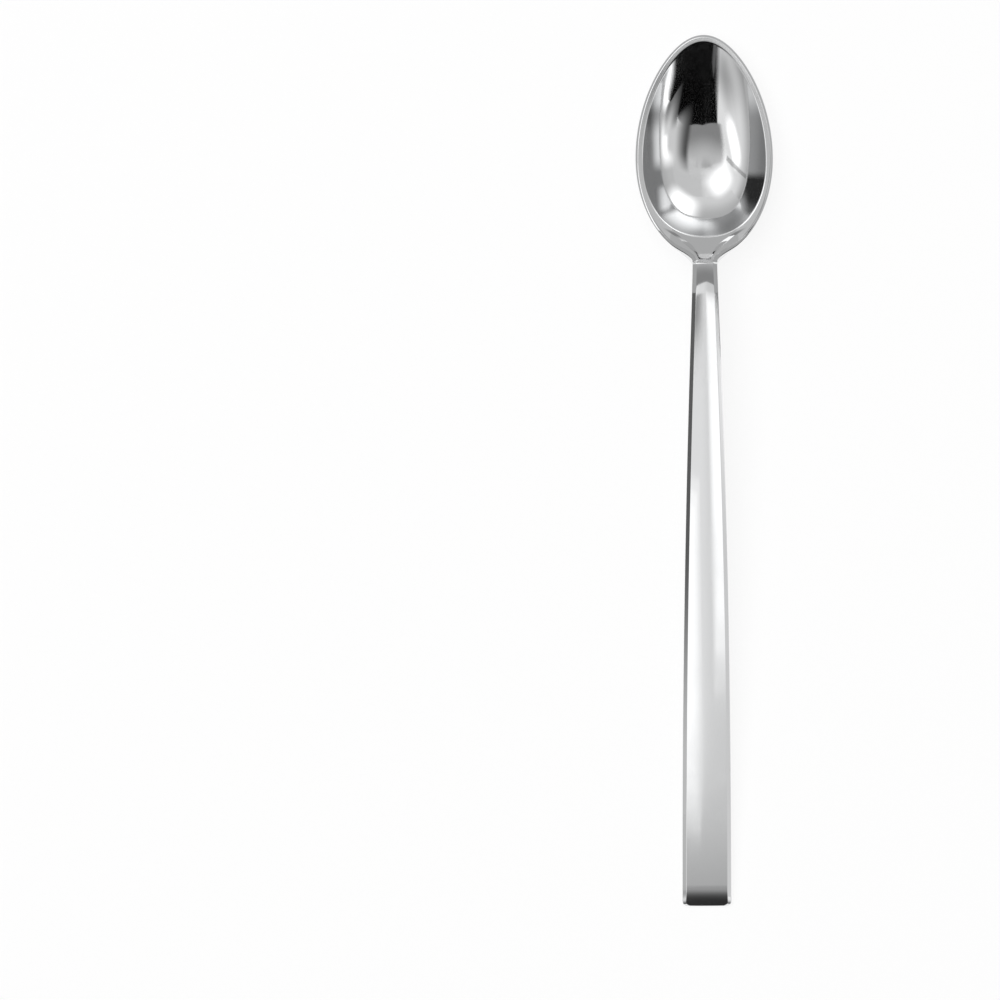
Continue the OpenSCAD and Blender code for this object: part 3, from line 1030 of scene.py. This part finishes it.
def band_round_rim(gap, low, high):
    """Points and faces of a band round the bowl, a gap away from the rim's outer edge and
    between two heights over it, all in millimetres."""
    # The band stops a little before the neck
    last, steps = 0.86 * NECK_TURN, 40
    line = []
    for i in range(-steps, steps + 1):
        turn = last * (i / steps)
        x, s = outer_place(abs(turn))
        line.append(Vector((math.copysign(x, turn), TIP_Y - s, rim_rise(s) + RIM_TIP_Z)))
    points = []
    for i, place in enumerate(line):
        forward = line[min(i + 1, len(line) - 1)] - line[max(i - 1, 0)]
        outward = Vector((-forward.y, forward.x, 0)).normalized() * gap
        for height in (low, high):
            points.append(tuple((place + outward + Vector((0, 0, height))) * MM))
    faces = [(2 * i, 2 * i + 2, 2 * i + 3, 2 * i + 1) for i in range(len(line) - 1)]
    return points, faces


def make_room():
    """Grey walls and ceiling that only reflections see."""
    far, top = 3.4, 2.0
    card(
        "ceiling",
        level_corners((-far, far), (-far, far), top),
        (along(0.45, 1.3, 0.84, 0.76), across(-0.1, 0.25, 1.06, 0.86)),
    )
    # The handle's end mirrors a darker strip of it
    card(
        "end_shade",
        level_corners((-0.7, 0.7), (-1.6, -0.65), top - 0.02),
        (along(-0.7, -0.86, 0.8, 0.4),),
        fades=(
            along(-0.66, -0.76),
            along(-1.35, -1.0),
            across(-0.7, -0.4),
            across(0.7, 0.4),
        ),
    )
    for name, corners, low, high in (
        ("left_wall", ((-far, -far), (-far, far)), 0.3, 0.85),
        ("right_wall", ((far, far), (far, -far)), 0.45, 0.6),
        ("back_wall", ((-far, far), (far, far)), 0.5, 0.76),
        ("front_wall", ((far, -far), (-far, -far)), 0.8, 0.95),
    ):
        (ax, ay), (bx, by) = corners
        card(
            name,
            ((ax, ay, 0), (bx, by, 0), (bx, by, top), (ax, ay, top)),
            (upward(0.0, 1.6, low, high),),
        )


def make_veils():
    """Grey cards over the bowl."""
    # A grey cloth high over the left of the bowl, which dims the handle near the neck
    card(
        "grey_cloth",
        level_corners((-1.0, 0.1), (0.05, 0.62), 1.9),
        even(0.36),
        fades=(across(0.08, -0.35), along(0.08, 0.45)),
    )
    # A grey veil, whose edge toward the handle shows in the bowl and in the neck
    card(
        "veil",
        (
            (-0.055, 0.0615, 0.083),
            (0.004, 0.0675, 0.083),
            (0.044, 0.0643, 0.083),
            (0.044, 0.1, 0.083),
            (-0.055, 0.1, 0.083),
        ),
        (along(0.072, 0.09, 0.27, 0.62),),
        fades=(along(0.1, 0.086), across(-0.055, -0.038)),
        bounce=1,
    )
    # The side of the veil that the left of the bowl mirrors, lighter further out
    card(
        "veil_side",
        level_corners((0.017, 0.135), (0.05, 0.095), 0.05),
        (across(0.021, 0.06, 0.06, 0.72),),
        fades=(
            across(0.017, 0.026),
            across(0.13, 0.085),
            along(0.09, 0.077),
            along(0.058, 0.068),
        ),
        bounce=1,
    )
    # A softer grey further out, between that side and the streak of light
    card(
        "veil_corner",
        level_corners((0.052, 0.18), (0.028, 0.07), 0.0505),
        (across(0.05, 0.1, 0.08, 0.85), along(0.038, 0.066, 0.25, 1.0)),
        fades=(
            across(0.052, 0.06),
            across(0.18, 0.12),
            along(0.07, 0.064),
            along(0.028, 0.036),
        ),
        bounce=1,
    )


def make_rim_and_neck_cards():
    """Small grey cards close to the rim, the tongue and the neck."""
    # A strip at the place where the rim's flat top gathers its rays
    card(
        "rim_strip",
        level_corners((-0.018, 0.018), (0.088, 0.1), 0.1),
        (
            across(-0.0145, -0.0095, 0.47, 0.15),
            across(0.001, 0.008, 1.0, 4.6),
            across(0.0115, 0.014, 1.0, 0.68),
        ),
        fades=(along(0.099, 0.0968),),
        bounce=1,
    )
    # A low band close round the rim, which only its outer bevel mirrors
    points, faces = band_round_rim(gap=0.8, low=-0.4, high=0.9)
    card("rim_band", points, even(0.5), faces=faces, bounce=1)
    # What the tongue and both sides of the neck mirror. These cards stand edge on to the tip
    # of the bowl, so that its dark reflection stays whole.
    card(
        "tongue_grey",
        (
            (-0.007, 0.0575, 0.0183),
            (0.007, 0.0575, 0.0183),
            (0.007, 0.0521, 0.0207),
            (-0.007, 0.0521, 0.0207),
        ),
        even(0.48),
        bounce=1,
    )
    for name, side in (("neck_grey_left", -1), ("neck_grey_right", 1)):
        card(
            name,
            (
                (side * 0.0166, 0.0505, 0.0142),
                (side * 0.0051, 0.0504, 0.0222),
                (side * 0.0072, 0.0421, 0.0251),
                (side * 0.0187, 0.0422, 0.0172),
            ),
            even(0.42),
            bounce=1,
        )


def make_dark_cards():
    """A dark opening for the bowl and dark cards for the handle, seen from their front."""
    # The opening that the bowl's wall at the tip mirrors
    soft_card(
        "dark_opening",
        (
            (0.05, 0.038, 0.001),
            (-0.022, 0.038, 0.001),
            (-0.029, 0.038, 0.034),
            (-0.032, 0.038, 0.043),
            (-0.039, 0.038, 0.062),
            (-0.054, 0.038, 0.099),
            (-0.12, 0.038, 0.253),
            (-0.21, 0.038, 0.5),
            (0.27, 0.038, 0.5),
            (0.19, 0.038, 0.28),
            (0.15, 0.038, 0.14),
            (0.122, 0.038, 0.09),
            (0.108, 0.038, 0.055),
            (0.112, 0.038, 0.045),
            (0.098, 0.038, 0.038),
            (0.084, 0.038, 0.034),
            (0.072, 0.038, 0.029),
            (0.062, 0.038, 0.02),
        ),
        level=0.001,
        spread=0.008,
        one_sided=True,
        bounce=1,
    )
    # The darks that the end and the left edge of the handle mirror
    card(
        "dark_end",
        ((0.035, -0.125, 0), (-0.035, -0.125, 0), (-0.035, -0.125, 0.1), (0.035, -0.125, 0.1)),
        (upward(0.01, 0.08, 0.03, 0.3),),
        fades=(upward(0.1, 0.075), across(0.012, 0.03, 1.0, 0.0), across(-0.012, -0.03, 1.0, 0.0)),
        one_sided=True,
    )
    card(
        "dark_side",
        ((-0.02, -0.08, 0.01), (-0.02, 0.05, 0.01), (-0.02, 0.05, 0.045), (-0.02, -0.08, 0.045)),
        (along(-0.02, -0.07, 0.12, 0.6),),
        one_sided=True,
    )


def make_inner_cards():
    """What the second reflections see, from one wall of the bowl to the other."""
    card(
        "inner_grey",
        level_corners((-0.05, 0.05), (0.0, 0.125), 0.06),
        (
            along(0.05, 0.062, 2.0, 1.0),
            across(-0.016, -0.004, 0.26, 0.5),
            across(0.003, 0.008, 1.0, 0.56),
        ),
        fades=(along(0.124, 0.118),),
        bounce=2,
    )
    card(
        "inner_light",
        level_corners((0.0, 0.017), (0.045, 0.09), 0.059),
        (
            across(0.0135, 0.0085, 0.25, 1.3),
            along(0.053, 0.06, 2.2, 1.0),
            along(0.06, 0.07, 0.45, 1.0),
        ),
        fades=(across(0.0165, 0.0145), along(0.087, 0.078)),
        bounce=2,
    )
    card(
        "inner_light_rear",
        level_corners((0.0, 0.013), (0.094, 0.124), 0.059),
        (across(0.0115, 0.0035, 0.25, 1.2),),
        fades=(across(0.013, 0.011), along(0.094, 0.1), along(0.119, 0.113)),
        bounce=2,
    )
    card(
        "inner_sky",
        level_corners((-0.9, 0.9), (1.0, 2.6), 1.95),
        (across(-0.35, 0.45, 1.3, 0.45), along(1.3, 2.05, 0.95, 0.42)),
        bounce=2,
    )
    card(
        "inner_dark",
        level_corners((-0.04, 0.0), (0.085, 0.119), 0.058),
        (along(0.104, 0.12, 0.03, 0.22),),
        fades=(along(0.085, 0.091), along(0.119, 0.115), across(0.0, -0.006)),
        bounce=2,
    )


def make_windows():
    """Bright soft windows, most of them placed round the bowl."""
    bowl_middle = (0.0, 0.07, 0.005)
    for name, direction, distance, width, height, level, edge, roll in (
        ("left_window", (-0.43, 0.55, 0.73), 1.3, 1.45, 1.3, 1.9, 1.0, 0.0),
        ("side_window", (-0.80, 0.05, 0.58), 1.3, 1.0, 0.5, 1.6, 0.6, -35.0),
        ("back_window", (0.50, 0.86, 0.16), 1.2, 1.4, 1.15, 1.9, 0.9, 0.0),
        ("right_window", (0.93, 0.03, 0.40), 1.2, 0.7, 0.75, 1.7, 0.9, 0.0),
        ("streak_window", (0.84, -0.46, 0.25), 1.2, 0.74, 0.44, 1.4, 0.4, 0.0),
        ("front_left_grey", (-0.68, -0.55, 0.48), 1.2, 1.2, 1.0, 0.42, 1.0, 0.0),
    ):
        softbox(name, bowl_middle, direction, distance, width, height, level, edge, roll)
    # A dark bar across the side window
    half = Vector((0.005, 0.013, 0.001))
    bar = [Vector(p) for p in ((-0.3, 0.165, 0.38), (-0.41, 0.208, 0.25), (-0.45, 0.245, 0.08))]
    for k in range(2):
        card(
            "window_bar_" + str(k),
            [bar[k] - half, bar[k + 1] - half, bar[k + 1] + half, bar[k] + half],
            even(0.15),
            cover=0.55,
            bounce=1,
        )
    # Two long windows over the handle
    soft_card(
        "handle_window_right",
        ((0.1, -0.36, 1.2), (0.5, -0.36, 1.2), (0.5, 0.37, 1.2), (0.06, 0.37, 1.2)),
        level=1.3,
        spread=0.07,
    )
    soft_card(
        "handle_window_left",
        (
            (-0.5, -0.475, 1.2),
            (-0.06, -0.475, 1.2),
            (-0.045, -0.44, 1.2),
            (-0.09, -0.2, 1.2),
            (-0.5, -0.15, 1.2),
        ),
        level=1.3,
        spread=0.06,
    )


def make_lamp():
    """One broad soft lamp, which lights the floor and casts the spoon's shadow."""
    place = Vector((-0.5, 0.4, 2.0))
    light = bpy.data.lights.new("soft_lamp", "AREA")
    light.shape = "DISK"
    light.size = 1.6
    light.energy = 26.0
    lamp = bpy.data.objects.new("soft_lamp", light)
    bpy.context.scene.collection.objects.link(lamp)
    lamp.location = place
    lamp.rotation_mode = "QUATERNION"
    lamp.rotation_quaternion = place.to_track_quat("Z", "Y")
    lamp.visible_glossy = False
    lamp.visible_camera = False


def make_camera():
    """Straight above, with the spoon in the right of the picture as in the photo."""
    distance, sensor, pixels, mm_per_pixel, turn = 3.0, 36.0, 1000, 0.2184, -0.25
    data = bpy.data.cameras.new("camera")
    data.sensor_width = sensor
    data.lens = sensor * distance / (pixels * mm_per_pixel * MM)
    data.clip_start, data.clip_end = 0.1, 50.0
    camera = bpy.data.objects.new("camera", data)
    bpy.context.scene.collection.objects.link(camera)
    camera.location = (-0.0448, -0.0062, distance)
    camera.rotation_euler = (0, 0, math.radians(turn))
    bpy.context.scene.camera = camera


make_floor()
make_world()
make_room()
make_veils()
make_rim_and_neck_cards()
make_dark_cards()
make_inner_cards()
make_windows()
make_lamp()
make_camera()

scene = bpy.context.scene
scene.view_settings.view_transform = "Standard"
